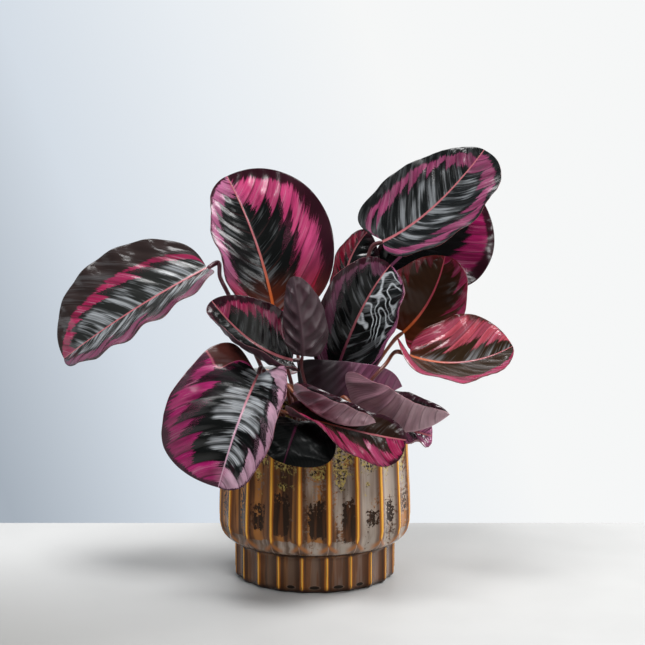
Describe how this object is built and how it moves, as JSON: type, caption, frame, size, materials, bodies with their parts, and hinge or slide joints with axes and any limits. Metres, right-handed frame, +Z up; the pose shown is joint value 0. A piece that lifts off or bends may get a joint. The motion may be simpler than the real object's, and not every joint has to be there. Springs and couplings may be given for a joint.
{
  "type": "potted calathea",
  "caption": "Free-standing house plant: a rosette of broad, glossy, painted leaves on slim stems, growing from soil in a two-tier fluted ceramic pot.",
  "frame": {"origin": "centre of the pot's flat base, on the surface that the pot stands on", "axes": "+Z up along the pot's axis; -Y towards the plant's front, where the low leaves hang over the rim; +X to the viewer's right"},
  "size_m": [0.3479, 0.2479, 0.3329],
  "materials": {
    "pot_glaze": "gloss",
    "soil": "matte",
    "leaf_blade": "gloss",
    "leaf_stem": "satin"
  },
  "bodies": {
    "root": {"pot": "pot_glaze", "soil": "soil", "blade_upper_left": "leaf_blade", "stem_upper_left": "leaf_stem", "blade_upper_right": "leaf_blade", "stem_upper_right": "leaf_stem", "blade_right_behind": "leaf_blade", "stem_right_behind": "leaf_stem", "blade_centre_behind": "leaf_blade", "stem_centre_behind": "leaf_stem", "blade_centre_glossy": "leaf_blade", "stem_centre_glossy": "leaf_stem", "blade_centre_under": "leaf_blade", "stem_centre_under": "leaf_stem", "blade_right_red": "leaf_blade", "stem_right_red": "leaf_stem", "blade_right_flat": "leaf_blade", "stem_right_flat": "leaf_stem", "blade_front_right": "leaf_blade", "stem_front_right": "leaf_stem", "blade_front_centre": "leaf_blade", "stem_front_centre": "leaf_stem", "blade_front_low": "leaf_blade", "stem_front_low": "leaf_stem", "blade_far_left": "leaf_blade", "stem_far_left": "leaf_stem", "blade_left_folded": "leaf_blade", "stem_left_folded": "leaf_stem", "blade_young_upright": "leaf_blade", "stem_young_upright": "leaf_stem", "blade_low_left": "leaf_blade", "stem_low_left": "leaf_stem", "blade_low_centre": "leaf_blade", "stem_low_centre": "leaf_stem", "blade_small_right": "leaf_blade", "stem_small_right": "leaf_stem", "blade_back_left": "leaf_blade", "stem_back_left": "leaf_stem", "blade_back_centre": "leaf_blade", "stem_back_centre": "leaf_stem", "blade_back_right": "leaf_blade", "stem_back_right": "leaf_stem", "blade_back_high_left": "leaf_blade", "stem_back_high_left": "leaf_stem", "blade_back_high_right": "leaf_blade", "stem_back_high_right": "leaf_stem"}
  },
  "joints": []
}
